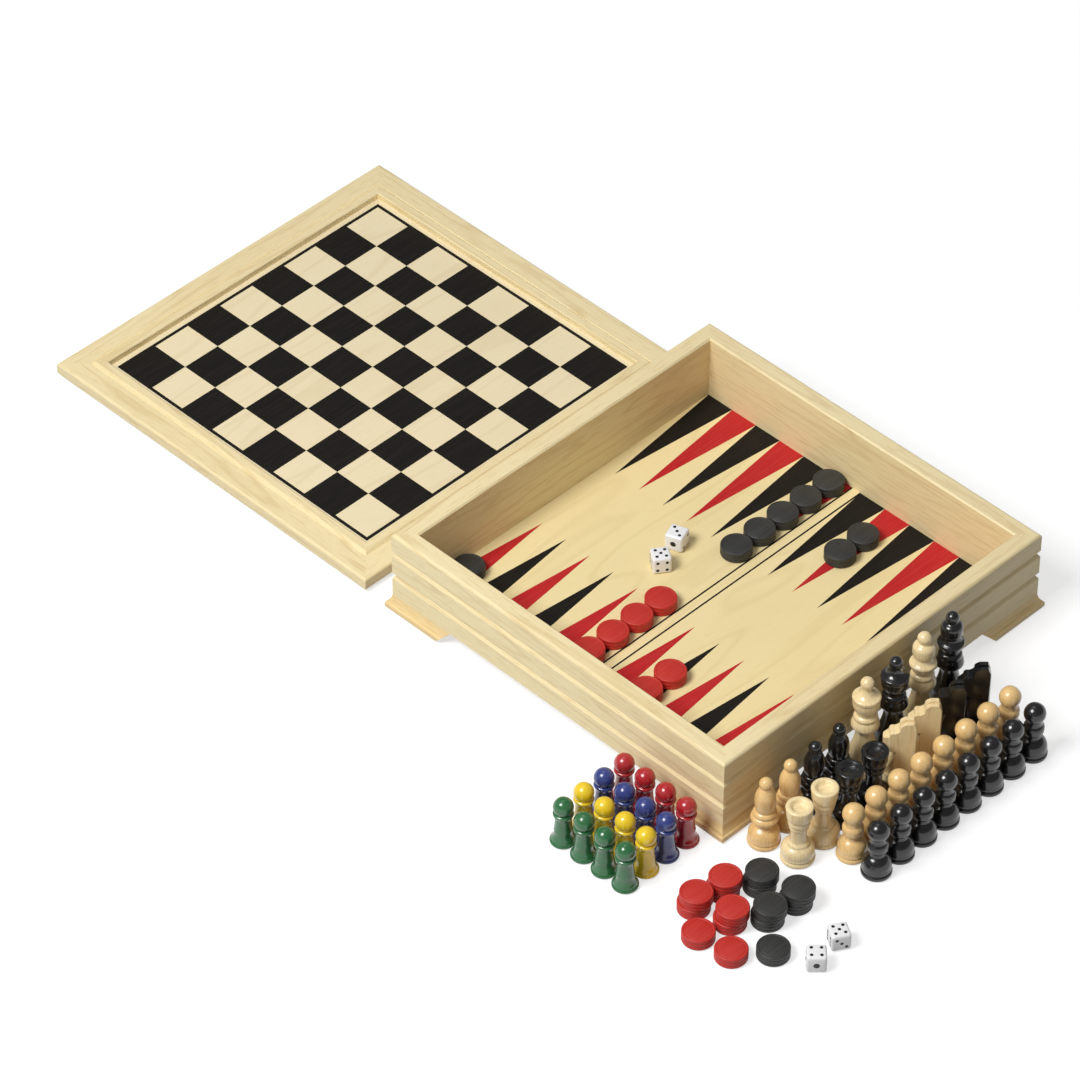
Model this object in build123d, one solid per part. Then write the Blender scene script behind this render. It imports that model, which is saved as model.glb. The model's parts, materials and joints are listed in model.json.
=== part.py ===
from build123d import *
import math
import os

# A games compendium in light wood: an open box whose floor is a backgammon board, a lid that is a
# game board on both sides, and the loose men. The lid is off and lies behind the box.
# Millimetres. +X runs to the right along the front of the box, +Y to its back, +Z up.

# Lid: four mitred rails round a plywood panel. Both faces have the same section.
field_size = 28.0
fields_per_side = 8
border_line = 2.4
pattern_margin = 3.9
bead_width = 7.2
bead_height = 1.5
bead_round = 1.0
quirk_width = 0.9
quirk_depth = 0.5
ledge_width = 16.0
lid_edge_height = 9.0
lid_arris = 1.8
panel_thickness = 3.2
panel_tongue = 5.0
panel_play = 0.3

# Box: four mitred walls of three bands, a plywood floor in a rebate, and bracket feet.
bead_clearance = 0.6
wall_thickness = 12.0
lower_band = 16.0
middle_band = 18.0
upper_band = 15.5
band_groove_depth = 1.8
band_groove_low = 2.8
band_groove_top = 2.0
rim_round = 2.2
rim_ease = 1.0
floor_height = 14.0
floor_thickness = 3.2
floor_seat = 5.0
floor_play = 0.2
foot_height = 10.5
foot_flare = 3.5
foot_nose = 4.6
foot_round = 1.2
foot_depth = 11.0
foot_length = 50.0
foot_cut = 10.5

# Backgammon board on the floor.
bar_width = 7.0
points_per_half = 6

# Where the lid lies: behind the box, this far from the back feet.
lid_gap = 16.9

# Turned chessmen: height, and width at the base.
king_height = 76.0
king_width = 24.0
queen_height = 73.0
queen_width = 24.0
bishop_height = 51.0
bishop_width = 20.2
knight_height = 51.0
knight_width = 21.0
rook_height = 42.6
rook_width = 20.8
pawn_height = 40.2
pawn_width = 18.8
disc_height = 3.2
disc_ease = 0.6
disc_groove = 1.0

# Heads, collars and necks of the men, as diameters.
pawn_ball = 13.5
pawn_collar = 12.8
pawn_neck = 8.8
bishop_ball = 8.1
bishop_head = 12.8
bishop_collar = 16.8
bishop_neck = 9.8
rook_cup = 16.6
rook_step = 13.6
rook_ring = 13.4
rook_neck = 10.4
rook_dish = 10.8
rook_dish_depth = 2.4
royal_collar = 17.2
royal_waist = 11.4
royal_neck = 11.0
queen_ball = 8.4
queen_head = 17.2
king_ball = 8.6
king_cup = 13.6
king_waist = 9.6
king_ring = 16.6

# Knight: a slab sawn from the turned blank and carved.
knight_drum = 12.0
knight_drum_width = 18.6
knight_blank = 20.0
knight_thick_low = 12.0
knight_thick_top = 7.4
knight_cheek = 7.0
knight_nose = 4.4
ear_gap = 2.4
ear_depth = 2.6

# Ludo pawns, draughts and dice.
ludo_height = 34.0
ludo_width = 16.2
ludo_ball = 12.4
ludo_waist = 10.2
ludo_ring = 12.4
draught_width = 20.0
draught_height = 7.4
draught_ease = 0.5
draught_groove = 0.45
die_size = 12.0
die_round = 1.6

# How the loose men stand round the box.
men_gap = 0.6
box_gap = 2.6
pawn_inset = 44.0
officer_inset = 20.0
royal_inset = 16.0
ludo_gap = 4.4
ludo_inset = 14.0
lay_tilt = 45.0

# Rows of draughts on the points: half of the board, point out from the bar, left or right wall, spaces
# left empty at the wall, how many.
play_rows = {
    "draughts_in_play_red": ((1, 0, -1, 0, 5), (-1, 1, -1, 1, 2)),
    "draughts_in_play_black": ((1, 0, 1, 0, 5), (-1, 1, 1, 1, 2), (1, 5, -1, 1, 1)),
}

# Loose stacks: left of the near corner and out from the front, in draught widths, and how many high.
stack_spots = {
    "spare_draughts_red": ((2.6, 1.35, 2), (1.55, 1.5, 2), (2.3, 2.5, 2), (3.35, 2.25, 1), (3.2, 3.4, 1)),
    "spare_draughts_black": ((0.65, 2.1, 2), (0.4, 3.3, 2), (1.45, 3.175, 2), (2.3, 4.2, 1)),
}
stack_slip = 0.045

# Dice, in die sizes, and the angle each is turned by. Those in play are right of the middle of the board
# and behind it. The spare ones are left of the near corner and out from the front.
play_dice = {"die_in_play_a": (1.0, 3.65, 20), "die_in_play_b": (-0.75, 3.1, 55)}
spare_dice = {"spare_die_a": (2.9, 8.9, 45), "spare_die_b": (1.1, 8.7, 59)}

# Sizes that follow from those above.
quarter_bulge = 1 - math.sqrt(0.5)
panel_half = fields_per_side * field_size / 2 + border_line + pattern_margin
bead_half = panel_half + bead_width
lid_half = bead_half + ledge_width
lid_thickness = lid_edge_height + 2 * bead_height
inner_half = bead_half + bead_clearance
wall_half = inner_half + wall_thickness
foot_half = wall_half + foot_flare
lid_distance = foot_half + lid_gap + lid_half
rim_height = foot_height + lower_band + middle_band + upper_band
point_pitch = (inner_half - bar_width / 2) / points_per_half


def outline(*steps):
    """A face from a run of points taken anticlockwise. A third number bulges that side outwards."""
    edges = []
    start = steps[-1][:2]
    for step in steps:
        end = step[:2]
        if len(step) == 2:
            edges.append(Line(start, end))
        else:
            across = Vector(end[0] - start[0], end[1] - start[1])
            out = Vector(across.Y, -across.X).normalized() * step[2]
            middle = Vector((start[0] + end[0]) / 2, (start[1] + end[1]) / 2) + out
            edges.append(ThreePointArc(start, middle, end))
        start = end
    return make_face(edges)


def turned(*steps, ball=None):
    """A lathe-turned solid. The steps are (radius, height), foot first; ball is (diameter, top)."""
    run = [(0, 0), *steps]
    profile = [Line(run[0], run[1][:2])]
    for start, end in zip(run[1:], run[2:]):
        if len(end) == 2:
            profile.append(Line(start[:2], end))
        else:
            across = Vector(end[0] - start[0], end[1] - start[1])
            out = Vector(across.Y, -across.X).normalized() * end[2]
            middle = Vector((start[0] + end[0]) / 2, (start[1] + end[1]) / 2) + out
            profile.append(ThreePointArc(start[:2], middle, end[:2]))
    last = run[-1][:2]
    if ball:
        radius, top = ball[0] / 2, ball[1]
        neck = (last[0], ball_seat(*ball, last[0]))
        profile.append(Line(last, neck))
        profile.append(ThreePointArc(neck, (radius, top - radius), (0, top)))
        last = (0, top)
    elif last[0] > 0:
        profile.append(Line(last, (0, last[1])))
        last = (0, last[1])
    profile.append(Line(last, (0, 0)))
    return revolve(Plane.XZ * make_face(profile), Axis.Z)


def ball_seat(diameter, top, neck_radius):
    """Height at which a neck of this radius meets the ball above it."""
    radius = diameter / 2
    return top - radius - math.sqrt(radius**2 - neck_radius**2)


def moulding(section):
    """The front length of a square frame of this section, mitred at both ends."""
    reach = 2 * section.bounding_box().max.X
    bar = extrude(Plane((reach, 0, 0), x_dir=(0, -1, 0), z_dir=(-1, 0, 0)) * section, 2 * reach)
    corner = make_face(Polyline((0, 0), (-reach, -reach), (reach, -reach), close=True))
    return bar & extrude(corner, reach, both=True)


def four_sides(piece):
    """Copies of a front piece for the four sides, by name."""
    return {side: Rot(0, 0, 90 * turn) * piece for turn, side in enumerate(SIDES)}


SIDES = ("front", "right", "back", "left")


# ---- Box

def wall_section():
    grooves = []
    for height in (foot_height + lower_band, foot_height + lower_band + middle_band):
        grooves.append((wall_half, height - band_groove_low))
        grooves.append((wall_half - band_groove_depth, height))
        grooves.append((wall_half, height + band_groove_top))
    return outline(
        (wall_half, foot_height),
        *grooves,
        (wall_half, rim_height - rim_round),
        (wall_half - rim_round, rim_height, quarter_bulge * rim_round),
        (inner_half + rim_ease, rim_height),
        (inner_half, rim_height - rim_ease),
        (inner_half, floor_height),
        (inner_half + floor_seat, floor_height),
        (inner_half + floor_seat, foot_height),
    )


def foot_section():
    return outline(
        (foot_half - foot_round, 0),
        (foot_half, foot_round, quarter_bulge * foot_round),
        (foot_half, foot_nose - foot_round),
        (foot_half - foot_round, foot_nose, quarter_bulge * foot_round),
        (wall_half, foot_height, -foot_round / 4),
        (wall_half - foot_depth, foot_height),
        (wall_half - foot_depth, 0),
    )


def feet():
    """Two bracket feet a side, mitred at the corners, with their inner ends sawn on a slant."""
    inner_top = foot_length - wall_half
    end = outline(
        (-2 * foot_half, 0),
        (inner_top - foot_cut, 0),
        (inner_top, foot_height),
        (-2 * foot_half, foot_height),
    )
    at_left = moulding(foot_section()) & extrude(Plane.XZ * end, 2 * foot_half)
    at_right = mirror(at_left, about=Plane.YZ)
    legs = {}
    for side, leg in four_sides(at_left).items():
        legs[f"foot_{side}_a"] = leg
    for side, leg in four_sides(at_right).items():
        legs[f"foot_{side}_b"] = leg
    return legs


def floor_panel():
    width = 2 * (inner_half + floor_seat - floor_play)
    top = Pos(0, 0, floor_height)
    return top * Box(width, width, floor_thickness, align=(Align.CENTER, Align.CENTER, Align.MAX))


# ---- Lid

def rail_section():
    ledge = lid_edge_height / 2
    bead = ledge + bead_height
    tongue = panel_thickness / 2
    upper = outline(
        (lid_half, 0),
        (lid_half, ledge - lid_arris),
        (lid_half - lid_arris, ledge, quarter_bulge * lid_arris),
        (bead_half + quirk_width, ledge),
        (bead_half + quirk_width / 2, ledge - quirk_depth),
        (bead_half, ledge),
        (bead_half - bead_height, bead),
        (panel_half + bead_round, bead),
        (panel_half, bead - bead_round, quarter_bulge * bead_round),
        (panel_half, tongue),
        (panel_half + panel_tongue, tongue),
        (panel_half + panel_tongue, 0),
    )
    return upper + mirror(upper, about=Plane.XZ)


def lid():
    place = Pos(0, lid_distance, lid_thickness / 2)
    pieces = {f"lid_rail_{side}": place * rail for side, rail in four_sides(moulding(rail_section())).items()}
    width = 2 * (panel_half + panel_tongue - panel_play)
    pieces["lid_panel"] = place * Box(width, width, panel_thickness)
    return pieces


# ---- Chessmen

def disc(width):
    """Steps for the base disc that every man stands on, up to the groove above it."""
    radius = width / 2
    return [
        (radius - disc_ease, 0),
        (radius, disc_ease),
        (radius, disc_height - disc_ease),
        (radius - disc_groove, disc_height),
    ]


def bulb(width, neck, top):
    """Steps for the round body on the disc, narrowing to the neck."""
    radius = width / 2 - disc_ease
    widest = disc_height + (top - disc_height) / 4
    return [(radius, widest, 0.4), (neck / 2, top, 1.5)]


def collar(neck, width, low, high):
    """Steps for a bell-shaped collar, widest near its foot, with a thin ring on top of it."""
    rim = width / 2
    ring = rim - 1.3
    return [
        (rim, low + 2.4, 0.5),
        (rim, low + 3.4),
        (ring - 0.5, high - 3.6, 0.3),
        (ring, high - 3.0),
        (ring, high - 1.8),
        (neck / 2, high, 0.2),
    ]


def pawn():
    shoulder, collar_low, collar_top = 14.6, 18.0, 25.4
    return turned(
        *disc(pawn_width),
        *bulb(pawn_width, pawn_neck, shoulder),
        (pawn_neck / 2, collar_low),
        (pawn_collar / 2, collar_low + 2.6, 0.6),
        (pawn_collar / 2, collar_low + 4.0),
        (pawn_neck / 2 + 0.6, collar_top, 0.5),
        ball=(pawn_ball, pawn_height),
    )


def rook():
    step_low, ring_low, cup_low = 12.8, 25.0, 32.6
    cup = rook_cup / 2
    neck = rook_neck / 2
    return turned(
        *disc(rook_width),
        *bulb(rook_width, rook_step, step_low),
        (rook_step / 2, step_low + 1.4),
        (neck, step_low + 2.6),
        (neck, ring_low, -0.3),
        (neck + 0.7, ring_low + 0.8),
        (neck + 0.7, ring_low + 2.0),
        (neck + 0.2, ring_low + 2.8),
        (rook_ring / 2, ring_low + 4.6, 0.3),
        (rook_ring / 2, ring_low + 6.4),
        (rook_ring / 2 - 0.6, cup_low),
        (cup - 0.7, cup_low + 1.8, 0.3),
        (cup, rook_height - disc_ease),
        (cup - disc_ease, rook_height),
        (rook_dish / 2, rook_height),
        (rook_dish / 2 - 1.2, rook_height - rook_dish_depth),
    )


def bishop():
    shoulder, collar_low, collar_top, head_top = 13.4, 17.0, 26.2, 44.0
    return turned(
        *disc(bishop_width),
        *bulb(bishop_width, bishop_neck, shoulder),
        (bishop_neck / 2, collar_low),
        *collar(bishop_neck + 1.0, bishop_collar, collar_low, collar_top),
        (bishop_head / 2, collar_top + 8.0, 0.3),
        (bishop_ball / 2 - 1.0, head_top, 0.9),
        ball=(bishop_ball, bishop_height),
    )


def royal_body(width):
    """Steps shared by the queen and king: a bell body, a waist, a collar and the neck above it."""
    radius = width / 2 - disc_ease
    bell, waist, collar_low, collar_top = 16.5, 29.0, 33.5, 45.0
    return [
        (radius, disc_height + 3.6, 0.4),
        (radius - 2.4, bell, 0.4),
        (royal_waist / 2, waist, -0.5),
        (royal_waist / 2, collar_low),
        *collar(royal_neck, royal_collar, collar_low, collar_top),
        (royal_neck / 2, collar_top + 2.0),
    ]


def queen():
    bowl_top, rim, head_top = 56.0, 58.6, 64.4
    head = queen_head / 2
    return turned(
        *disc(queen_width),
        *royal_body(queen_width),
        (head - 0.5, bowl_top, 1.2),
        (head, rim - 0.6, 0.2),
        (head - 0.7, rim + 0.7, 0.3),
        (queen_ball / 2 - 1.2, head_top, -1.0),
        ball=(queen_ball, queen_height),
    )


def king():
    ring_low, waist, cup_low, cup_top = 50.4, 56.8, 61.2, 64.4
    ring, cup = king_ring / 2, king_cup / 2
    return turned(
        *disc(king_width),
        *royal_body(king_width),
        (ring - 0.8, ring_low, 0.5),
        (ring, ring_low + 1.8, 0.2),
        (ring - 1.0, ring_low + 3.0, 0.2),
        (king_waist / 2, waist, -0.4),
        (cup, cup_low, 0.6),
        (cup, cup_top),
        (king_ball / 2, cup_top + 3.4, 0.6),
        (king_ball / 2 - 1.0, cup_top + 4.0),
        ball=(king_ball, king_height),
    )


def knight():
    """A drum on a disc, and a slab head: side outline, wedge, plan and turned blank cut one another."""
    drum = turned(
        *disc(knight_width),
        (knight_width / 2 - disc_ease, disc_height + 3.0, 0.4),
        (knight_width / 2 - 1.2, knight_drum - 2.0, 0.4),
        (knight_drum_width / 2, knight_drum - 1.4),
        (knight_drum_width / 2, knight_drum),
    )
    top = knight_height
    reach = knight_blank / 2
    side = outline(
        (0.6 - reach, knight_drum),
        (reach - 1.4, knight_drum),
        (reach - 2.0, knight_drum + 4.0, 0.3),
        (2.2, 30.6, -0.8),
        (5.8, 30.2),
        (8.2, 31.8, 0.3),
        (reach, 35.0, 0.3),
        (reach, 39.6),
        (6.8, 41.0),
        (6.2, 42.8, -0.2),
        (3.4, 44.0, 0.6),
        (0.8, 45.4, -0.2),
        (0.2, top - 2.8, -0.3),
        (-3.2, top, 0.4),
        (2.2 - reach, top),
        (-reach, top - 7.0, 0.3),
    )
    low, high = knight_thick_low / 2, knight_thick_top / 2
    wedge = outline((-low, knight_drum), (low, knight_drum), (high, top), (-high, top))
    parting = outline((ear_gap / 2, top + 1), (-ear_gap / 2, top + 1), (0, top - ear_depth))
    plan = outline(
        (reach, -knight_nose / 2),
        (reach, knight_nose / 2),
        (reach - knight_cheek, low),
        (-reach, low),
        (-reach, -low),
        (reach - knight_cheek, -low),
    )
    blank = Pos(0, 0, knight_drum) * Cylinder(
        reach, top - knight_drum, align=(Align.CENTER, Align.CENTER, Align.MIN)
    )
    head = blank & extrude(plan, top)
    head = head & extrude(Plane.XZ * side, knight_width, both=True)
    head = head & extrude(Plane.YZ * wedge, knight_width, both=True)
    return drum + head - extrude(Plane.YZ * parting, knight_width, both=True)


# ---- Other men

def ludo_pawn():
    radius = ludo_width / 2
    waist = ludo_waist / 2
    ring = ludo_ring / 2
    ring_low = 21.4
    return turned(
        (radius - disc_ease, 0),
        (radius, disc_ease),
        (radius, 1.8),
        (radius - disc_groove, 2.4),
        (radius - disc_groove, 3.4),
        (waist + 0.6, 10.0, -0.6),
        (waist, 18.0, -0.2),
        (ring - 0.6, ring_low, -0.2),
        (ring, ring_low + 0.5),
        (ring, ring_low + 1.8),
        (ring - 1.6, ring_low + 2.6),
        ball=(ludo_ball, ludo_height),
    )


def draught():
    radius = draught_width / 2
    steps = [(radius - draught_ease, 0), (radius, draught_ease)]
    for share in (1 / 3, 2 / 3):
        middle = draught_height * share
        steps.append((radius, middle - draught_groove))
        steps.append((radius - draught_groove, middle))
        steps.append((radius, middle + draught_groove))
    steps.append((radius, draught_height - draught_ease))
    steps.append((radius - draught_ease, draught_height))
    return turned(*steps)


def die():
    cube = Box(die_size, die_size, die_size, align=(Align.CENTER, Align.CENTER, Align.MIN))
    return fillet(cube.edges(), die_round)


# ---- Where the men stand

def beside(along, out):
    """A spot on the table: along the front from the box's left corner, and out from the front."""
    return Pos(along - wall_half, -wall_half - out, 0)


def chess_rows():
    """Four rows in front of the box. The rows and the men in them stand men_gap apart."""
    royal_out = foot_flare + box_gap + king_width / 2
    officer_out = royal_out + (king_width + knight_width) / 2 + men_gap
    white_out = officer_out + (knight_width + pawn_width) / 2 + men_gap
    black_out = white_out + pawn_width + men_gap
    rows = {}
    for count in range(fields_per_side):
        along = pawn_inset + count * (pawn_width + men_gap)
        rows.setdefault("white_pawns", []).append(beside(along, white_out) * pawn())
        rows.setdefault("black_pawns", []).append(beside(along, black_out) * pawn())
    turn = Rot(0, 0, 90 + lay_tilt)
    officers = [(rook(), rook_width, "rook"), (turn * knight(), knight_width, "knight")]
    royals = [
        (bishop(), bishop_width, "bishop"),
        (queen(), queen_width, "queen"),
        (king(), king_width, "king"),
    ]
    for inset, out, kinds in ((officer_inset, officer_out, officers), (royal_inset, royal_out, royals)):
        edge = inset - kinds[0][1] / 2
        for man, width, name in kinds:
            singles = name in ("queen", "king")
            for colour in ("white", "black"):
                for mark in ("",) if singles else ("_a", "_b"):
                    place = beside(edge + width / 2, out)
                    rows[f"{colour}_{name}{mark}"] = [place * man]
                    edge += width + men_gap
    return rows


def ludo_block():
    """Four rows of four at the left of the box, a colour to a row."""
    pitch = ludo_width + men_gap
    near = wall_half + foot_flare + ludo_gap + ludo_width / 2
    block = {}
    for row, colour in enumerate(("red", "blue", "yellow", "green")):
        spots = [Pos(-near - row * pitch, ludo_inset - wall_half + column * pitch) for column in range(4)]
        block[f"ludo_pawns_{colour}"] = [spot * ludo_pawn() for spot in spots]
    return block


def draught_stacks():
    """Loose stacks in front of the near corner, each draught slipped a little on the one below."""
    lying = {}
    for name, spots in stack_spots.items():
        lying[name] = [
            beside((stack_slip * level - left) * draught_width, (out + stack_slip * level) * draught_width)
            * Pos(0, 0, level * draught_height)
            * draught()
            for left, out, high in spots
            for level in range(high)
        ]
    return lying


def draughts_in_play():
    """Men on the points, in rows from the walls."""
    pitch = draught_width + men_gap
    first = inner_half - draught_width / 2 - men_gap
    lying = {}
    for name, rows in play_rows.items():
        lying[name] = []
        for half, point, wall, empty, men in rows:
            behind = half * (bar_width / 2 + (point + 0.5) * point_pitch)
            for place in range(empty, empty + men):
                right = wall * (first - place * pitch)
                lying[name].append(Pos(right, behind, floor_height) * draught())
    return lying


def dice():
    """Two in the box and two on the table, each lying at its own angle."""
    lying = {}
    for name, (right, behind, angle) in play_dice.items():
        lying[name] = [Pos(right * die_size, behind * die_size, floor_height) * Rot(0, 0, angle) * die()]
    for name, (left, out, angle) in spare_dice.items():
        lying[name] = [beside(-left * die_size, out * die_size) * Rot(0, 0, angle) * die()]
    return lying


def whole_set():
    nodes = {f"wall_{side}": [wall] for side, wall in four_sides(moulding(wall_section())).items()}
    nodes["base_floor"] = [floor_panel()]
    for pieces in (feet(), lid()):
        nodes.update({name: [piece] for name, piece in pieces.items()})
    for group in (chess_rows(), ludo_block(), draught_stacks(), draughts_in_play(), dice()):
        nodes.update(group)
    return nodes


def origin_of(nodes):
    """The middle of the whole set's box, on the table."""
    boxes = [piece.bounding_box() for pieces in nodes.values() for piece in pieces]
    middle_x = (min(box.min.X for box in boxes) + max(box.max.X for box in boxes)) / 2
    middle_y = (min(box.min.Y for box in boxes) + max(box.max.Y for box in boxes)) / 2
    return Vector(middle_x, middle_y, 0)


set_nodes = whole_set()
origin = origin_of(set_nodes)
os.makedirs("parts", exist_ok=True)
for node_name, node_pieces in set_nodes.items():
    solids = [solid for piece in node_pieces for solid in (Pos(-origin) * piece).solids()]
    export_step(Compound(children=solids) if len(solids) > 1 else solids[0], f"parts/{node_name}.step")
print("box centre is at", round(-origin.X, 3), round(-origin.Y, 3), "from the origin")
print("lid turns about y", round(lid_distance / 2 - origin.Y, 3))
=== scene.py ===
# %% [markdown]
# # Games compendium
# A wooden box with a backgammon board on its floor, a loose lid with a chessboard on one face and a ludo
# board on the other, and the men and dice for all the games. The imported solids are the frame: every piece
# made here keeps to their places and sizes. The box, lid and knights could be built again from nothing, but
# their solids are already right, so they stay and get real materials. The turned men are spun again with
# finer rings, and the printed boards and the pips are added, because ink is too thin for a solid.

import json
import math

import bmesh
import bpy
from mathutils import Matrix, Vector


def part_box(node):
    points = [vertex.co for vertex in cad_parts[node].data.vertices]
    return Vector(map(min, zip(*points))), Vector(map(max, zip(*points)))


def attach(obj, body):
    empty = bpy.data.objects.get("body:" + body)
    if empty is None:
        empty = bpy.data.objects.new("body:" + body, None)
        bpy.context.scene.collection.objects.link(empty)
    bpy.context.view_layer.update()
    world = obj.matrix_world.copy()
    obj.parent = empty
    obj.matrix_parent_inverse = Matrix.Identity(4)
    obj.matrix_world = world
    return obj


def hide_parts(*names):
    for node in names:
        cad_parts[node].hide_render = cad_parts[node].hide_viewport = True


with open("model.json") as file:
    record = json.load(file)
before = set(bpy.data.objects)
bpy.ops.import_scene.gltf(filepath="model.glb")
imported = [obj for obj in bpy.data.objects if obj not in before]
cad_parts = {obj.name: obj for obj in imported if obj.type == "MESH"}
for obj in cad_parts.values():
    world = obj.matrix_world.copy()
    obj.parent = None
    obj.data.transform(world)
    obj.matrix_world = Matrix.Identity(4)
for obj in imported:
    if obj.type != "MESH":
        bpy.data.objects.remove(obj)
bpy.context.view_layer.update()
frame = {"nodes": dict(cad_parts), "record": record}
record = frame["record"]
bodies = record["behaviour"]["bodies"]
body_of = {node: body for body, nodes in bodies.items() for node in nodes}
MM = 0.001  # sizes here are in millimetres, and Blender counts in metres

# %% [markdown]
# ## Building a material
# A material in Blender is a graph of nodes that ends in one shader. It can be wired by hand in the editor.
# In a script, every node needs the same three steps: make it, set it, link it. `add` does the three at once
# and hands back an output, so a recipe reads from top to bottom like the wiring does. Colours are written
# as they look on a screen, and `colour` turns them into the linear values that the shader wants.


# %% Helpers for materials
def colour(code):
    """Linear RGBA of a screen colour such as #C8A060."""
    parts = [int(code[i : i + 2], 16) / 255 for i in (1, 3, 5)]
    return tuple(p / 12.92 if p <= 0.04045 else ((p + 0.055) / 1.055) ** 2.4 for p in parts) + (1.0,)


def feed(tree, node, inputs):
    """Gives each input its value, or links it where the value is another node's output."""
    for key, value in inputs.items():
        if isinstance(value, bpy.types.NodeSocket):
            tree.links.new(value, node.inputs[key])
        else:
            node.inputs[key].default_value = value


def add(tree, kind, inputs, output=0, **settings):
    """Adds a node with its settings, values and links, and returns one of its outputs."""
    node = tree.nodes.new("ShaderNode" + kind)
    for key, value in settings.items():
        setattr(node, key, value)
    feed(tree, node, inputs)
    return node.outputs[output]


def blank(name):
    """A new material, its node tree and its shader."""
    material = bpy.data.materials.new(name)
    material.use_nodes = True
    return material, material.node_tree, material.node_tree.nodes["Principled BSDF"]


def per_metre(long_mm, wide_mm, along=""):
    """Mapping scale for marks of this size: long on the axis of the grain, wide on the others."""
    return tuple(1000 / (long_mm if axis == along else wide_mm) for axis in "XYZ")


print("helpers ready")

# %% [markdown]
# ## Wood
# Sawn softwood shows growth rings as long arches, because the saw cuts them at a slant, and fine fibres
# between them. A picture of wood could be stretched over each rail, but it would repeat and break at the
# mitres. Here the rings are the contour lines of a slow noise, a fine noise gives the fibres, and a broad
# one lets the tone drift. All three are stretched along the piece, so the grain runs its length and changes
# direction at each mitre. Real fibres are too fine to show, so they are drawn as coarse as 0.7 mm.


# %% A recipe for wood
RING_LONG, FIBRE_LONG, FIBRE_WIDE, DRIFT_LONG, DRIFT_WIDE = 420, 14, 0.7, 300, 70
RINGS, DRIFT_SHOWS = 10.0, 0.15  # so many rings lie between the slow noise's 0 and 1
PORE_DEPTH, SHEEN_SPREAD = 0.04, 0.08


def wood(name, along, light, dark, rings=0.3, spacing=30.0, fibres=0.4, rough=0.45, coat=0.0):
    """Rings and fibres are how strongly they show. Spacing is how wide the slow noise is, in millimetres."""
    material, tree, shader = blank(name)
    where = add(tree, "TexCoord", {}, "Object")
    marks = []
    sizes = ((RING_LONG, spacing, 2), (FIBRE_LONG, FIBRE_WIDE, 4), (DRIFT_LONG, DRIFT_WIDE, 2))
    for long_mm, wide_mm, detail in sizes:
        spot = add(tree, "Mapping", {"Vector": where, "Scale": per_metre(long_mm, wide_mm, along)})
        settings = {"Vector": spot, "Scale": 1.0, "Detail": detail, "Roughness": 0.5, "Distortion": 0.3}
        marks.append(add(tree, "TexNoise", settings, "Fac"))
    slow, fibre, drift = marks
    many = add(tree, "Math", {0: slow, 1: RINGS}, operation="MULTIPLY")
    ring = add(tree, "Math", {0: many, 1: 0.5}, operation="PINGPONG")
    base = colour(light)
    # A mark starts to darken the wood at one level of its noise and shows in full at the next.
    layers = [(ring, 0.34, 0.5, rings), (fibre, 0.5, 0.7, fibres), (drift, 0.4, 0.75, DRIFT_SHOWS)]
    for mark, start, full, show in layers:
        limits = {"Value": mark, "From Min": start, "From Max": full, "To Max": show}
        share = add(tree, "MapRange", limits, "Result", interpolation_type="SMOOTHSTEP")
        base = add(tree, "Mix", {0: share, 6: base, 7: colour(dark)}, 2, data_type="RGBA")
    sheen = {"Value": fibre, "To Min": rough - SHEEN_SPREAD, "To Max": rough + SHEEN_SPREAD}
    uneven = add(tree, "MapRange", sheen, "Result")
    pores = add(tree, "Bump", {"Height": fibre, "Distance": PORE_DEPTH * MM, "Strength": 0.5})
    feed(tree, shader, {"Base Color": base, "Roughness": uneven, "Normal": pores})
    feed(tree, shader, {"Coat Weight": coat, "Coat Roughness": 0.15})
    return material


# %% [markdown]
# ### Pine, birch plywood and varnished hardwood
# The box and the lid's rails are pine, planed and thinly varnished: pale, satin and low in contrast. The
# feet are a yellower piece of it. The boards are birch plywood, whose peeled face is very even. The light
# chessmen are a close-grained hardwood, with the grain up the man and a gloss varnish over it. One recipe
# makes them all, since they differ only in colour, spacing and shine.

# %% The woods
pine, foot_pine = {}, {}
for axis in "XY":
    pine[axis] = wood("planed_pine_" + axis.lower(), axis, "#F1E0B1", "#CBA769", rings=0.28, fibres=0.38)
    foot_pine[axis] = wood("yellow_pine_" + axis.lower(), axis, "#EBD097", "#C4995A", rings=0.4)
peeled = {"rings": 0.25, "spacing": 60.0, "fibres": 0.2, "rough": 0.5}
plywood = {
    "lid_panel": wood("birch_plywood_lid", "X", "#EFE0BA", "#D6C196", **peeled),
    "base_floor": wood("birch_plywood_floor", "X", "#F0DDA7", "#D8C187", **peeled),
}
varnished = {"rings": 0.4, "spacing": 11.0, "fibres": 0.3, "rough": 0.3, "coat": 0.4}
light_men = {
    "warm": wood("varnished_hardwood_warm", "Z", "#F1CB8B", "#D0A05F", **varnished),
    "pale": wood("varnished_hardwood_pale", "Z", "#F6E0AE", "#D6AE70", **varnished),
}
print("woods:", sorted(m.name for m in bpy.data.materials if "pine" in m.name or "wood" in m.name))

# %% [markdown]
# ## Paint and moulded plastic
# The dark chessmen and the ludo men are dipped in gloss paint, which levels to a skin with a faint
# waviness. The dice are moulded plastic. A plain colour with a low roughness would look like a computer's
# idea of paint, so a soft cloud of noise shifts its colour and roughness a little, and a clear coat adds a
# second, sharper highlight, as the smooth skin of paint has.


# %% A recipe for paint
WAVE, WAVE_HEIGHT = 5, 0.04


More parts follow.
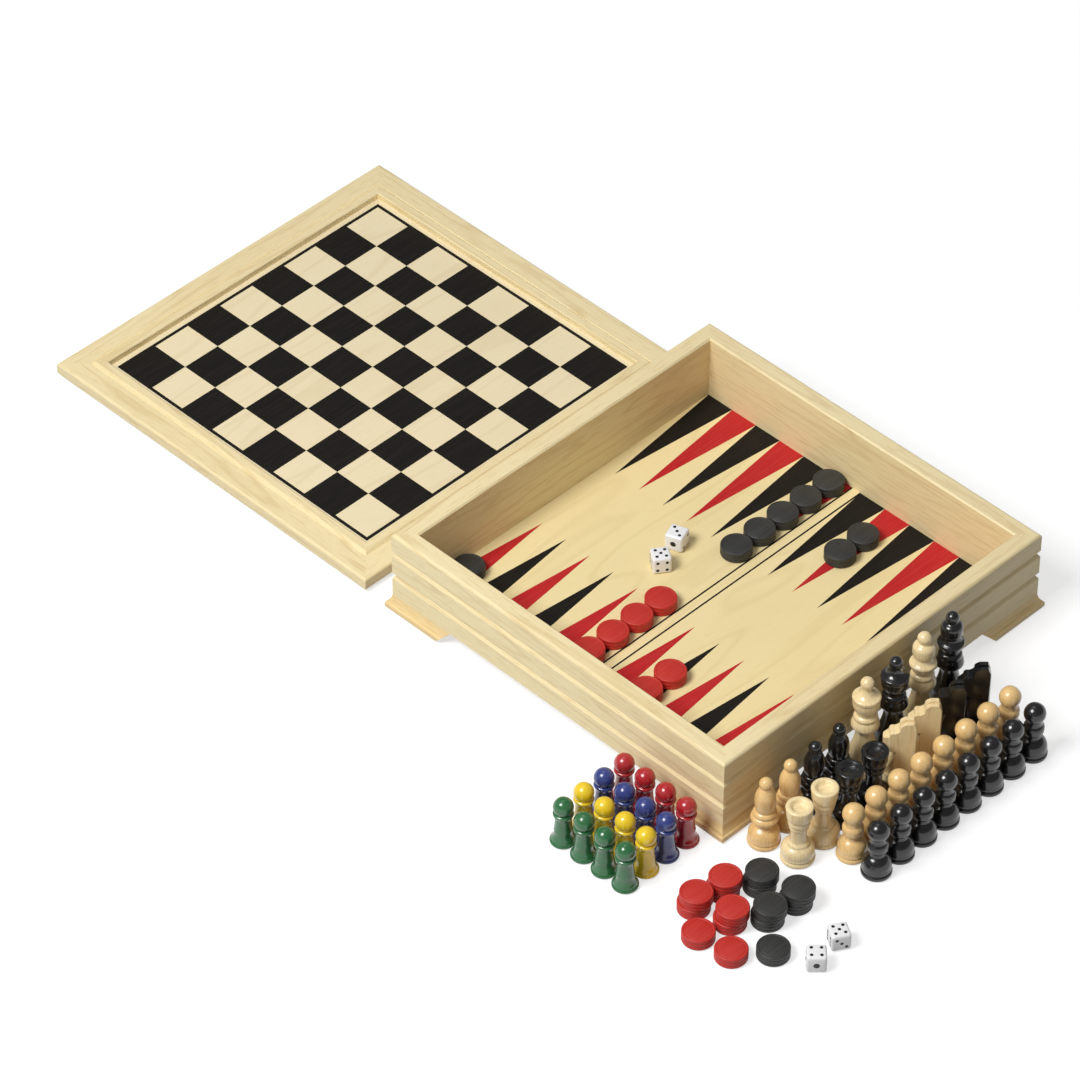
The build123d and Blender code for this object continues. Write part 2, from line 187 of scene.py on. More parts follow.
def paint(name, base, rough=0.2, coat=0.5, lift=0.03):
    """Lift is how much paler the paint gets where the cloud is thick."""
    material, tree, shader = blank(name)
    where = add(tree, "TexCoord", {}, "Object")
    spot = add(tree, "Mapping", {"Vector": where, "Scale": per_metre(WAVE, WAVE)})
    cloud = add(tree, "TexNoise", {"Vector": spot, "Scale": 1.0, "Detail": 3.0}, "Fac")
    paler = tuple(min(1.0, c + lift) for c in colour(base)[:3]) + (1.0,)
    share = add(tree, "MapRange", {"Value": cloud, "From Min": 0.4, "From Max": 0.8}, "Result")
    mixed = add(tree, "Mix", {0: share, 6: colour(base), 7: paler}, 2, data_type="RGBA")
    uneven = add(tree, "MapRange", {"Value": cloud, "To Min": rough, "To Max": rough + 0.1}, "Result")
    waves = add(tree, "Bump", {"Height": cloud, "Distance": WAVE_HEIGHT * MM, "Strength": 0.4})
    feed(tree, shader, {"Base Color": mixed, "Roughness": uneven, "Normal": waves})
    feed(tree, shader, {"Coat Weight": coat, "Coat Roughness": 0.12})
    return material


black_men = paint("black_dipped_lacquer", "#141415", lift=0.006)
paints = {
    "red": paint("red_gloss_paint", "#B01B22"),
    "blue": paint("blue_gloss_paint", "#2D3C80"),
    "yellow": paint("yellow_gloss_paint", "#EFCB1C"),
    "green": paint("green_gloss_paint", "#28693B"),
}
die_white = paint("white_moulded_plastic", "#EFEFF0", rough=0.25, coat=0.3, lift=0.0)
pip_black = paint("black_pip_paint", "#131315", rough=0.45, coat=0.0, lift=0.0)
print("paints:", ["black", *paints])

# %% [markdown]
# ## Stain and screen ink
# Draughts are stained, so the grain still shows as fine lines across their flat tops. Screen ink lies so
# thinly on the plywood that the fibres break its colour and its shine. Both are a colour on wood with a
# fibre noise through it, so one recipe does for both. These fibres too are drawn wider than real ones, at
# 0.8 mm, so that they show. Ink has a lower specular level, because its matt film reflects less than varnish.


# %% A recipe for stain and ink
LINE_LONG, LINE_WIDE = 25, 0.8


def tinted(name, base, pale, show=0.6, rough=0.4, specular=0.5):
    """Show is how strongly the paler fibres come through."""
    material, tree, shader = blank(name)
    where = add(tree, "TexCoord", {}, "Object")
    spot = add(tree, "Mapping", {"Vector": where, "Scale": per_metre(LINE_LONG, LINE_WIDE, "X")})
    fibre = add(tree, "TexNoise", {"Vector": spot, "Scale": 1.0, "Detail": 4.0, "Roughness": 0.6}, "Fac")
    limits = {"Value": fibre, "From Min": 0.42, "From Max": 0.8, "To Max": show}
    share = add(tree, "MapRange", limits, "Result")
    mixed = add(tree, "Mix", {0: share, 6: colour(base), 7: colour(pale)}, 2, data_type="RGBA")
    uneven = add(tree, "MapRange", {"Value": fibre, "To Min": rough, "To Max": rough + 0.2}, "Result")
    pores = add(tree, "Bump", {"Height": fibre, "Distance": PORE_DEPTH * MM, "Strength": 0.5})
    feed(tree, shader, {"Base Color": mixed, "Roughness": uneven, "Normal": pores})
    feed(tree, shader, {"Specular IOR Level": specular})
    return material


stains = {
    "red": tinted("red_wood_stain", "#BE271F", "#CE4639"),
    "black": tinted("black_wood_stain", "#2C2C2B", "#4A4B49"),
}
film = {"show": 0.5, "rough": 0.5, "specular": 0.25}
inks = {
    "black": tinted("black_screen_ink", "#15120F", "#2C2721", show=0.6, rough=0.5, specular=0.2),
    "red": tinted("red_screen_ink", "#B91D22", "#C84A42", **film),
    "blue": tinted("blue_screen_ink", "#2F74B8", "#6098C8", **film),
    "yellow": tinted("yellow_screen_ink", "#F0BE24", "#F2CE62", **film),
    "green": tinted("green_screen_ink", "#3C9048", "#68AA6A", **film),
}
print("stains:", len(stains), "inks:", len(inks))

# %% [markdown]
# ## Box, lid and knights
# The walls, feet, rails and boards are sawn and the knights are turned and cut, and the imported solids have
# their shapes already. They could be replaced by finer meshes, but only the long edges need help: sanded
# wood is never saw-sharp, and an eased edge catches a line of light. A CAD mesh is split at every edge, so a
# weld joins it for the bevel, and weighted normals keep the flats flat. The knights' short curves shade best
# as they came, and the boards' edges are hidden in the rails and walls.


# %% Dress the solids that stay
EDGE_ROUND, SHARP_FROM, WELD, FLAT_WEIGHT = 0.3, 28, 0.002, 80


def dress(node, material, eased=False):
    """Eased is for pieces whose long edges show."""
    piece = frame["nodes"][node]
    piece.data.materials.clear()
    piece.data.materials.append(material)
    if eased:
        piece.modifiers.new("joined_skin", "WELD").merge_threshold = WELD * MM
        edge = piece.modifiers.new("eased_edges", "BEVEL")
        edge.width = EDGE_ROUND * MM
        edge.segments = 2
        edge.limit_method = "ANGLE"
        edge.angle_limit = math.radians(SHARP_FROM)
        piece.modifiers.new("flat_faces", "WEIGHTED_NORMAL").weight = FLAT_WEIGHT


for node in frame["nodes"]:
    axis = "X" if ("front" in node or "back" in node) else "Y"
    if node.startswith("foot_"):
        dress(node, foot_pine[axis], eased=True)
    elif node.startswith(("wall_", "lid_rail_")):
        dress(node, pine[axis], eased=True)
    elif node in plywood:
        dress(node, plywood[node])
    elif "knight" in node:
        dress(node, light_men["pale"] if node.startswith("white") else black_men)
print("box, lid and knights dressed")

# %% [markdown]
# ## The lathe
# A turned man is half an outline spun round its axis. It could be drawn as a curve with a Screw modifier,
# but an outline of marks, as a turner would strike them, is easier to compare with the man. A mark is a
# radius and a height in millimetres, from the foot up. A third number bulges the stretch before it outwards,
# or inwards where it is below zero. Each sharp corner is split in two, so a highlight runs round every ring
# as it does on sanded wood.

# %% Curves and corners of an outline
SOFT, CORNER_FROM = 0.22, 20


def arc(start, end, bulge, steps):
    """Points after start, up to end, on the arc that bulges to the right of start-to-end."""
    chord = end - start
    out = Vector((chord.y, -chord.x)).normalized()
    half = chord.length / 2
    radius = (half**2 + bulge**2) / (2 * abs(bulge))
    centre = (start + end) / 2 + out * (bulge - math.copysign(radius, bulge))
    sweep = math.copysign(2 * math.asin(min(1.0, half / radius)), bulge)
    return [centre + Matrix.Rotation(sweep * k / steps, 2) @ (start - centre) for k in range(1, steps + 1)]


def soften(points):
    """Splits each corner that turns by CORNER_FROM degrees or more in two."""
    smooth = [points[0]]
    for before, here, after in zip(points, points[1:], points[2:]):
        back, ahead = before - here, after - here
        if (-back).angle(ahead, 0.0) < math.radians(CORNER_FROM):
            smooth.append(here)
            continue
        smooth.append(here + back.normalized() * min(SOFT, back.length / 3))
        smooth.append(here + ahead.normalized() * min(SOFT, ahead.length / 3))
    return smooth + [points[-1]]


print("corners are eased by", SOFT, "mm")

# %% [markdown]
# ### From marks to an outline
# An outline starts and ends on the axis, so that the spun shape is closed. A ball could be struck as marks
# too, but it is round only if it is worked out: it takes its width and the height of its top, and starts
# where it meets the last mark. What comes back on several men is a short function that gives its marks.


# %% An outline from marks
ARC_STEPS, BALL_STEPS, SAME_SPOT = 7, 16, 0.01


def outline(*marks, ball=None):
    """Ball is a diameter and the height of its top."""
    points = [Vector((0.0, 0.0)), Vector(marks[0][:2])]
    for mark in marks[1:]:
        end = Vector(mark[:2])
        points += arc(points[-1], end, mark[2], ARC_STEPS) if len(mark) == 3 else [end]
    if ball:
        radius, top = ball[0] / 2, ball[1]
        tilt = math.acos(min(points[-1].x, radius) / radius)
        for k in range(BALL_STEPS + 1):
            angle = -tilt + (math.pi / 2 + tilt) * k / BALL_STEPS
            points.append(Vector((radius * math.cos(angle), top - radius + radius * math.sin(angle))))
    elif points[-1].x > 0:
        points.append(Vector((0.0, points[-1].y)))
    return soften([p for n, p in enumerate(points) if n == 0 or (p - points[n - 1]).length > SAME_SPOT])


DISC, EASE, GROOVE = 3.2, 0.6, 1.0
FLARE, RIM, STEP, RING, SHOULDER = 2.4, 1.0, 1.3, 1.2, 1.8


def disc(width):
    """The flat disc at a man's foot, with the start of the groove over it."""
    r = width / 2
    return [(r - EASE, 0), (r, EASE), (r, DISC - EASE), (r - GROOVE, DISC)]


def bulb(width, neck, top):
    """The round body on the disc, up to the neck."""
    return [(width / 2 - EASE, DISC + (top - DISC) / 4, 0.4), (neck / 2, top, 1.5)]


def collar(neck, width, low, high):
    """Flares out to a rim, steps in to a narrower ring, and its shoulder ends at the neck."""
    rim, ring = width / 2, width / 2 - STEP
    under, over = low + FLARE, high - SHOULDER
    lower = [(rim, under, 0.5), (rim, under + RIM), (ring - 0.5, over - RING - 0.6, 0.3)]
    return lower + [(ring, over - RING), (ring, over), (neck / 2, high, 0.2)]


print("a foot disc is", DISC, "mm high")

# %% [markdown]
# ## Outlines of the men
# Every chessman stands on a disc with a groove over it. Pawn, bishop, queen and king end in a ball: on the
# queen it stands on a saucer, on the king on a cup over a ring. The rook's top is dished. The solids have
# these outlines too, so the marks are the same numbers, and a draught gets one thing more: the shallow ring
# that is turned into each of its faces, near the edge.

# %% The outlines
DRAUGHT = 7.4
royal = [(11.4, DISC + 3.6, 0.4), (9.0, 16.5, 0.4), (5.7, 29.0, -0.5), (5.7, 33.5)]
royal += collar(11.0, 17.2, 33.5, 45.0) + [(5.5, 47.0)]
queen_top = [(8.1, 56.0, 1.2), (8.6, 58.0, 0.2), (7.9, 59.3, 0.3), (3.0, 64.4, -1.0)]
king_top = [(7.5, 50.4, 0.5), (8.3, 52.2, 0.2), (7.3, 53.4, 0.2), (4.8, 56.8, -0.4), (6.8, 61.2, 0.6)]
king_top += [(6.8, 64.4), (4.3, 67.8, 0.6), (3.3, 68.4)]
rook_top = [(6.8, 14.2), (5.2, 15.4), (5.2, 25.0, -0.3), (5.9, 25.8), (5.9, 27.0), (5.4, 27.8)]
rook_top += [(6.7, 29.6, 0.3), (6.7, 31.4), (6.1, 32.6), (7.6, 34.4, 0.3), (8.3, 42.0), (7.7, 42.6)]
rook_top += [(5.4, 42.6), (4.2, 40.2)]
pawn_top = [(4.4, 18.0), (6.4, 20.6, 0.6), (6.4, 22.0), (5.0, 25.4, 0.5)]
bishop_top = [(4.9, 17.0), *collar(10.8, 16.8, 17.0, 26.2), (6.4, 34.2, 0.3), (3.05, 44.0, 0.9)]
ludo_stem = [(7.5, 0), (8.1, 0.6), (8.1, 1.8), (7.1, 2.4), (7.1, 3.4), (5.7, 10.0, -0.6), (5.1, 18.0, -0.2)]
ludo_stem += [(5.6, 21.4, -0.2), (6.2, 21.9), (6.2, 23.2), (4.6, 24.0)]
draught_face = [(8.1, 0), (8.35, 0.25), (8.6, 0), (9.5, 0), (10.0, 0.5)]
draught_half = draught_face + [(10.0, 2.02), (9.55, 2.47), (10.0, 2.92)]
draught_edge = draught_half + [(radius, DRAUGHT - height) for radius, height in reversed(draught_half)]
shapes = {
    "pawn": outline(*disc(18.8), *bulb(18.8, 8.8, 14.6), *pawn_top, ball=(13.5, 40.2)),
    "rook": outline(*disc(20.8), *bulb(20.8, 13.6, 12.8), *rook_top),
    "bishop": outline(*disc(20.2), *bulb(20.2, 9.8, 13.4), *bishop_top, ball=(8.1, 51.0)),
    "queen": outline(*disc(24.0), *royal, *queen_top, ball=(8.4, 73.0)),
    "king": outline(*disc(24.0), *royal, *king_top, ball=(8.6, 76.0)),
    "ludo": outline(*ludo_stem, ball=(12.4, 34.0)),
    "draught": outline(*draught_edge),
}
print({kind: len(points) for kind, points in shapes.items()})

# %% [markdown]
# ## Turning the men
# A man could be spun once and copied as linked objects, but a node must be one piece that moves as one. So
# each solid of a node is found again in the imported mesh, as the vertices that edges join to each other, and
# the middle of its foot is the spot where a man is spun. A node of eight pawns becomes one mesh of eight.


# %% Find the spots
SAME_POINT = 0.001


def spots_of(node):
    """Middle of the foot of each loose solid in a node, in metres."""
    bm = bmesh.new()
    bm.from_mesh(frame["nodes"][node].data)
    bmesh.ops.remove_doubles(bm, verts=bm.verts, dist=SAME_POINT * MM)
    left, spots = set(bm.verts), []
    while left:
        island, waiting = set(), [left.pop()]
        while waiting:
            vert = waiting.pop()
            island.add(vert)
            near = [link.other_vert(vert) for link in vert.link_edges]
            waiting += [other for other in near if other in left]
            left.difference_update(near)
        low = [min(v.co[axis] for v in island) for axis in range(3)]
        high = [max(v.co[axis] for v in island) for axis in range(2)]
        spots.append(Vector(((low[0] + high[0]) / 2, (low[1] + high[1]) / 2, low[2])))
    bm.free()
    return spots


def finished(name, bm, materials, node, replace=True, smooth=True):
    """Makes the piece with these materials, hides the node's solid where it replaces it, and ties it to the
    node's body.
    """
    mesh = bpy.data.meshes.new(name)
    bm.to_mesh(mesh)
    bm.free()
    for material in materials:
        mesh.materials.append(material)
    for face in mesh.polygons:
        face.use_smooth = smooth
    piece = bpy.data.objects.new(name, mesh)
    bpy.context.scene.collection.objects.link(piece)
    if replace:
        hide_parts(node)
    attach(piece, body_of[node])
    return piece


print("pawns stand on", len(spots_of("white_pawns")), "spots")

# %% [markdown]
# ### Spinning
# The outline could be copied round by a loop, but the spin operator does that and makes the faces between in
# one step. Spinning can leave a shape inside out and its ends unjoined, so doubles are merged and the faces
# turned outwards before a man is finished. 48 steps keep an edge round at the size that the render shows.


# %% Spin them
TURNS = 48


def turn(node, kind, material):
    """Puts a man of this kind on each spot of the node."""
    bm = bmesh.new()
    for spot in spots_of(node):
        marks = [bm.verts.new((p.x * MM, 0.0, p.y * MM)) for p in shapes[kind]]
        line = [bm.edges.new(pair) for pair in zip(marks, marks[1:])]
        old = set(bm.verts) - set(marks)
        spin = {"cent": (0, 0, 0), "axis": (0, 0, 1), "angle": math.tau, "steps": TURNS, "use_merge": True}
        bmesh.ops.spin(bm, geom=marks + line, **spin)
        bmesh.ops.translate(bm, verts=[v for v in bm.verts if v not in old], vec=spot)
    bmesh.ops.remove_doubles(bm, verts=bm.verts, dist=WELD * MM)
    bmesh.ops.recalc_face_normals(bm, faces=bm.faces)
    return finished(node + "_turned", bm, [material], node)


turned = 0
for node in list(frame["nodes"]):
    last = node.split("_")[-1]
    if node.startswith("ludo_pawns_"):
        turn(node, "ludo", paints[last])
    elif "draughts" in node:
        turn(node, "draught", stains[last])
    elif node.startswith(("white_", "black_")) and "knight" not in node:
        kind = "pawn" if last == "pawns" else node.split("_")[1]
        tone = "warm" if kind in ("pawn", "bishop") else "pale"
        turn(node, kind, light_men[tone] if node.startswith("white") else black_men)
    else:
        continue
    turned += 1
print(turned, "nodes turned")

# %% [markdown]
# ## Dice
# A moulded die is a cube with rounded edges and painted pips. The pips could be sunk by cutting, but at
# this size only their paint shows, so each is a flat disc flush with the die's reach, and the white body
# stops a hair inside it. The single pip is large. Opposite faces add up to seven, and the faces that the
# photograph shows are turned to the same sides.

# %% Dice with pips
DIE, DIE_ROUND = 12.0, 1.6
PIP, LARGE_PIP, PIP_OUT, PIP_SIDES = 1.05, 1.9, 2.9, 20
INK = 0.03  # how far paint and ink stand over what they are printed on
PIPS = {
    1: [(0, 0)],
    2: [(-1, -1), (1, 1)],
    3: [(-1, -1), (0, 0), (1, 1)],
    4: [(-1, -1), (-1, 1), (1, -1), (1, 1)],
    5: [(-1, -1), (-1, 1), (0, 0), (1, -1), (1, 1)],
    6: [(-1, -1), (-1, 0), (-1, 1), (1, -1), (1, 0), (1, 1)],
}


def ink_faces(made, index):
    """Gives the faces that an operator has just made their material."""
    for face in {f for v in made["verts"] for f in v.link_faces}:
        face.material_index = index


def die(node, angle, top, front):
    """Front is the number on the side that faces -X before the die is turned by its angle."""
    side = next(n for n in range(1, 7) if n not in (top, 7 - top, front, 7 - front))
    bm = bmesh.new()
    bmesh.ops.create_cube(bm, size=(DIE - 2 * INK) * MM)
    round_off = {"offset": DIE_ROUND * MM, "segments": 5, "profile": 0.5, "affect": "EDGES", "material": -1}
    bmesh.ops.bevel(bm, geom=list(bm.edges), **round_off)
    quarter = math.pi / 2
    faces = [
        (top, Matrix.Identity(4)),
        (7 - top, Matrix.Rotation(math.pi, 4, "X")),
        (front, Matrix.Rotation(-quarter, 4, "Y")),
        (7 - front, Matrix.Rotation(quarter, 4, "Y")),
        (side, Matrix.Rotation(quarter, 4, "X")),
        (7 - side, Matrix.Rotation(-quarter, 4, "X")),
    ]
    for number, facing in faces:
        size = (LARGE_PIP if number == 1 else PIP) * MM
        for across, up in PIPS[number]:
            at = facing @ Matrix.Translation(Vector((across * PIP_OUT, up * PIP_OUT, DIE / 2)) * MM)
            spot = bmesh.ops.create_circle(bm, cap_ends=True, segments=PIP_SIDES, radius=size, matrix=at)
            ink_faces(spot, 1)
    place = Matrix.Translation(spots_of(node)[0] + Vector((0, 0, DIE / 2 * MM)))
    bm.transform(place @ Matrix.Rotation(math.radians(angle), 4, "Z"))
    return finished(node + "_with_pips", bm, [die_white, pip_black], node)


die("spare_die_a", angle=45, top=4, front=1)
die("spare_die_b", angle=59, top=5, front=3)
die("die_in_play_a", angle=20, top=3, front=1)
die("die_in_play_b", angle=55, top=5, front=4)
print("4 dice of", DIE, "mm")

# %% [markdown]
# ## Printed boards
# Each board is screen printed on the plywood in one pass per colour. It could be painted with a procedural
# pattern, but the edges of ink are crisp at any distance, so every field, ring and point is a thin face
# that lies a few hundredths of a millimetre over the veneer and carries its ink.


# %% Marks of ink
SPOT_SIDES, RING_SIDES = 40, 64


def ink_spot(bm, x, y, radius, index):
    """A filled circle in the ink of this index."""
    at = Matrix.Translation((x * MM, y * MM, 0))
    spot = bmesh.ops.create_circle(bm, cap_ends=True, segments=SPOT_SIDES, radius=radius * MM, matrix=at)
    ink_faces(spot, index)


def ink_ring(bm, x, y, radius, line):
    """A line of this width inside the radius, in the board's first ink."""
    at = Matrix.Translation((x * MM, y * MM, 0))
    loops = []
    for r in (radius, radius - line):
        made = bmesh.ops.create_circle(bm, cap_ends=False, segments=RING_SIDES, radius=r * MM, matrix=at)
        loops += list({e for v in made["verts"] for e in v.link_edges})
    for face in bmesh.ops.bridge_loops(bm, edges=loops)["faces"]:
        face.material_index = 0


def ink_bar(bm, x, y, wide, tall):
    """A filled oblong round its middle, in the board's first ink."""
    at = Matrix.Translation((x * MM, y * MM, 0)) @ Matrix.Diagonal((wide * MM, tall * MM, 1, 1))
    bmesh.ops.create_grid(bm, x_segments=1, y_segments=1, size=0.5, matrix=at)


def printed(name, bm, place, colours, node):
    """Turns the ink face up, lays it in its place and ties it to its board."""
    bm.normal_update()
    bmesh.ops.reverse_faces(bm, faces=[face for face in bm.faces if face.normal.z < 0])
    bm.transform(place)
    return finished(name, bm, [inks[tone] for tone in colours], node, replace=False, smooth=False)


low, high = (Vector(corner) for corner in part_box("lid_panel"))
in_panel = Matrix.Translation((low + high) / 2)
onto_face = Matrix.Translation((0, 0, (high.z - low.z) / 2 + INK * MM))
print("the lid's panel is", round((high.z - low.z) / MM, 2), "mm thick")

# %% [markdown]
# ### Chess and draughts
# Eight by eight fields with a line round them. A grid operator makes all the fields at once, and the light
# ones are deleted, because they are bare veneer. Each player has a light field at the right.

# %% The chessboard
FIELD, FIELDS, BORDER = 28.0, 8, 2.4
chess = bmesh.new()
half = FIELD * FIELDS / 2
bmesh.ops.create_grid(chess, x_segments=FIELDS, y_segments=FIELDS, size=half * MM)
light = []
for face in chess.faces:
    middle = face.calc_center_median() / MM
    column, row = (math.floor((c + half) / FIELD) for c in middle[:2])
    if (column + row) % 2 == 0:
        light.append(face)
bmesh.ops.delete(chess, geom=light, context="FACES")
for side in (-1, 1):
    ink_bar(chess, side * (half + BORDER / 2), 0, BORDER, 2 * (half + BORDER))
    ink_bar(chess, 0, side * (half + BORDER / 2), 2 * half, BORDER)
printed("chessboard_print", chess, in_panel @ onto_face, ["black"], "lid_panel")
print("chessboard:", FIELDS**2 - len(light), "dark fields")

# %% [markdown]
# ### Ludo
# Forty circles form a cross on an eleven by eleven grid. Each colour has its start and its four home
# circles filled, a small arrow, and a large ring with four small rings in its corner. Each colour's places
# could be typed, but they are red's places turned by right angles. The print is laid out the right way up
# and then turned over, because it lies under the open lid and reads correctly once the lid is closed.

# %% The ludo board
LUDO_PITCH, LUDO_SPOT, LUDO_LINE, ARM = 20.5, 16.0, 1.1, 5
HOME_AT, HOME_RADIUS, HOME_SPREAD = 84.0, 27.0, 11.0
ARROW = [(-4.4, 0), (-0.6, 3.8), (-0.6, 2.0), (3.8, 2.4), (2.8, 0), (3.8, -2.4), (-0.6, -2.0), (-0.6, -3.8)]
ARROW_AT = (2.05 * LUDO_PITCH, 5.15 * LUDO_PITCH)
INK_ORDER = ["black", "red", "green", "yellow", "blue"]
ludo = bmesh.new()
lane = [j for j in range(-ARM, ARM + 1) if j]
track = {spot for i in (-1, 1) for j in lane for spot in ((i, j), (j, i))}
track |= {(0, ARM), (ARM, 0), (0, -ARM), (-ARM, 0)}
start, home = (1, ARM), [(0, j) for j in range(ARM - 1, 0, -1)]


def quarter_turn(x, y, times):
    """The point turned anticlockwise by so many right angles."""
    for _ in range(times):
        x, y = -y, x
    return x, y


for i, j in sorted(track):
    ink_ring(ludo, i * LUDO_PITCH, j * LUDO_PITCH, LUDO_SPOT / 2, LUDO_LINE)
for times, name in ((0, "red"), (3, "green"), (2, "yellow"), (1, "blue")):
    index = INK_ORDER.index(name)
    for i, j in (start, *home):
        x, y = quarter_turn(i * LUDO_PITCH, j * LUDO_PITCH, times)
        ink_spot(ludo, x, y, LUDO_SPOT / 2 - LUDO_LINE, index)
        if (i, j) in home:
            ink_ring(ludo, x, y, LUDO_SPOT / 2, LUDO_LINE)
    corners = [quarter_turn(ARROW_AT[0] + dx, ARROW_AT[1] + dy, times) for dx, dy in ARROW]
    arrow = ludo.faces.new([ludo.verts.new((x * MM, y * MM, 0)) for x, y in corners])
    arrow.material_index = index
    x, y = quarter_turn(HOME_AT, HOME_AT, times)
    ink_ring(ludo, x, y, HOME_RADIUS, LUDO_LINE)
    for dx in (-HOME_SPREAD, HOME_SPREAD):
        for dy in (-HOME_SPREAD, HOME_SPREAD):
            ink_ring(ludo, x + dx, y + dy, LUDO_SPOT / 2, LUDO_LINE)
turned_over = Matrix.Rotation(math.pi, 4, "X")
printed("ludo_print", ludo, in_panel @ turned_over @ onto_face, INK_ORDER, "lid_panel")
print("ludo:", len(track), "track circles")

# %% [markdown]
# ### Backgammon
# Twelve points stand on the left wall and twelve on the right, six each side of the bar. Colours alternate,
# and facing points differ. A point could be built corner by corner, but a circle of three sides is already
# a triangle, so it is stretched to the point's length and set with its foot on the wall.

# %% The backgammon board
INNER_HALF, BAR, BAR_LINE, POINTS, POINT_LONG = 126.1, 7.0, 1.2, 6, 94.5
board = bmesh.new()
pitch = (INNER_HALF - BAR / 2) / POINTS
# A triangle of radius 1 is 1.5 long and the root of 3 wide.
stretch = Matrix.Diagonal((POINT_LONG / 1.5 * MM, pitch / math.sqrt(3) * MM, 1, 1))
for side in (-1, 1):
    facing = Matrix.Rotation(side * math.pi / 2, 4, "Z")
    for half_board in (-1, 1):
        for count in range(POINTS):
            y = half_board * (BAR / 2 + (count + 0.5) * pitch)
            red = (count % 2 == 0) == (half_board == side)
            at = Matrix.Translation((side * (INNER_HALF - POINT_LONG / 3) * MM, y * MM, 0)) @ stretch @ facing
            made = bmesh.ops.create_circle(board, cap_ends=True, segments=3, radius=1.0, matrix=at)
            ink_faces(made, 1 if red else 0)
    ink_bar(board, 0, side * BAR / 2, 2 * INNER_HALF, BAR_LINE)
low, high = (Vector(corner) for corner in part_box("base_floor"))
on_floor = Matrix.Translation(((low.x + high.x) / 2, (low.y + high.y) / 2, high.z + INK * MM))
printed("backgammon_print", board, on_floor, ["black", "red"], "base_floor")
print("backgammon:", 4 * POINTS, "points of", round(pitch, 2), "mm")

# %% [markdown]
# ## Camera
# The photograph looks down on the near corner of the box, and its edges hardly run together, as through a
# long lens. A camera could be placed by eye. Here its direction is set and its distance is worked out, so
# that the whole set just fills the square frame whatever its size.

# %% Camera
AZIMUTH, ELEVATION, VIEW_ANGLE, MARGIN, SEES_TO = -45.0, 43.0, 11.0, 1.08, 40.0
az, el = math.radians(AZIMUTH), math.radians(ELEVATION)
back = Vector((math.sin(az) * math.cos(el), -math.cos(az) * math.cos(el), math.sin(el)))
right = Vector((math.cos(az), math.sin(az), 0))
up = back.cross(right)
corners = []
for node in frame["nodes"]:
    xs, ys, zs = zip(*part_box(node))
    corners += [Vector((x, y, z)) for x in xs for y in ys for z in zs]
spans = [(min(c.dot(axis) for c in corners), max(c.dot(axis) for c in corners)) for axis in (right, up)]
target = right * sum(spans[0]) / 2 + up * sum(spans[1]) / 2
widest = max(span[1] - span[0] for span in spans) / 2
camera = bpy.data.objects.new("camera", bpy.data.cameras.new("camera"))
camera.data.angle = math.radians(VIEW_ANGLE)
camera.data.clip_end = SEES_TO
camera.location = target + back * widest * MARGIN / math.tan(camera.data.angle / 2)
camera.rotation_euler = back.to_track_quat("Z", "Y").to_euler()
bpy.context.scene.collection.objects.link(camera)
bpy.context.scene.camera = camera
print("camera at", [round(c, 3) for c in camera.location])

# %% [markdown]
# ## Light
# Light comes from the left and above: the ledges of the grooves and the rim are bright, and the side that
# faces right is in shade. Several equal lamps would fill the grooves and hide them, so one soft box does
# most of the work, with a weak one overhead and a dim even world. Together they light a face that looks up
# to about the level at which a colour renders as it is written.


# %% Soft boxes and world
def softbox(name, place, size, watts):
    """A square lamp that faces the set. Its place is counted from the set's middle, in metres."""
    lamp = bpy.data.lights.new(name, "AREA")
    lamp.size = size
    lamp.energy = watts
    holder = bpy.data.objects.new(name, lamp)
    holder.location = target + Vector(place)
    holder.rotation_euler = Vector(place).to_track_quat("Z", "Y").to_euler()
    bpy.context.scene.collection.objects.link(holder)


softbox("key_left", (-1.35, 0.1, 1.9), size=0.9, watts=48)
softbox("overhead", (0.2, 0.5, 2.3), size=1.0, watts=4)
world = bpy.data.worlds.new("even_white_room")
bpy.context.scene.world = world
world.use_nodes = True
feed(world.node_tree, world.node_tree.nodes["Background"], {"Color": colour("#FFFFFF"), "Strength": 0.24})
bpy.context.scene.view_settings.view_transform = "Standard"
print("lamps:", [lamp.name for lamp in bpy.data.lights])

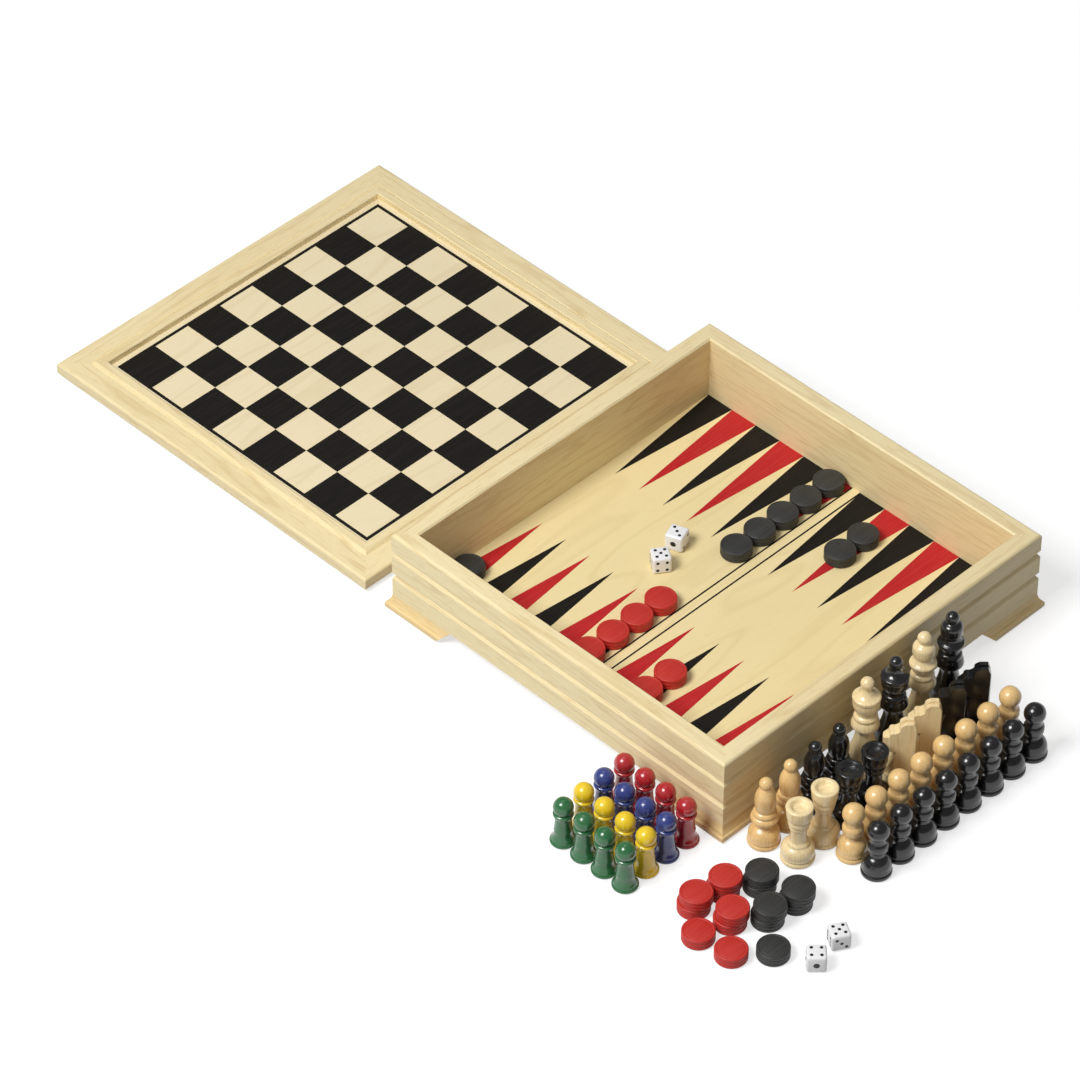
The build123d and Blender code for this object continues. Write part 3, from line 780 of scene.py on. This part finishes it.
# %% [markdown]
# ## White table
# The photograph's ground is white, but a white table under lamps would throw so much light back that the
# shaded side of the box lost its shade. So the table throws light back as a mid grey would, and only rays
# from the camera, or ones that a glossy or clear surface sends on, find it brighter, up to white. It is
# least bright under the object, which keeps its shadow. Its rim turns up, so a low camera sees no horizon.

# %% Table
REACH, RIM_UP, RIM_SIDES, TABLE_CLOUD = 12.0, 1.8, 96, 1 / 3
SHADE_TO, WHITE_FROM, SHADE_GLOW, WHITE_GLOW = 0.35, 2.0, 0.64, 1.0
CLEARANCE = 0.4
table_paint, tree, shader = blank("matt_grey_table_seen_as_white")
where = add(tree, "TexCoord", {}, "Object")
cloud = add(tree, "TexNoise", {"Vector": where, "Scale": 1 / TABLE_CLOUD, "Detail": 2.0}, "Fac")
even = add(tree, "Mix", {0: cloud, 6: colour("#B2B2B2"), 7: colour("#B6B6B6")}, 2, data_type="RGBA")
away = add(tree, "VectorMath", {0: where}, "Value", operation="LENGTH")
limits = {"Value": away, "From Min": SHADE_TO, "From Max": WHITE_FROM}
limits |= {"To Min": SHADE_GLOW, "To Max": WHITE_GLOW}
lift = add(tree, "MapRange", limits, "Result", interpolation_type="SMOOTHSTEP")
seen = None
for kind in ("Is Camera Ray", "Is Glossy Ray", "Is Transmission Ray"):
    flag = add(tree, "LightPath", {}, kind)
    seen = flag if seen is None else add(tree, "Math", {0: seen, 1: flag}, operation="ADD")
glow = add(tree, "Math", {0: lift, 1: seen}, operation="MULTIPLY")
feed(tree, shader, {"Base Color": even, "Roughness": 0.9, "Specular IOR Level": 0.1})
feed(tree, shader, {"Emission Color": colour("#FFFFFF"), "Emission Strength": glow})
ground = bmesh.new()
bmesh.ops.create_circle(ground, cap_ends=True, segments=RIM_SIDES, radius=REACH)
rim = bmesh.ops.extrude_edge_only(ground, edges=list(ground.edges))["geom"]
raised = [part for part in rim if isinstance(part, bmesh.types.BMVert)]
bmesh.ops.translate(ground, verts=raised, vec=(0, 0, RIM_UP))
ground.transform(Matrix.Translation((0, 0, -CLEARANCE * MM)))
mesh = bpy.data.meshes.new("white_table")
ground.to_mesh(mesh)
ground.free()
mesh.materials.append(table_paint)
table = bpy.data.objects.new("white_table", mesh)
bpy.context.scene.collection.objects.link(table)
print("table reaches", REACH, "m")
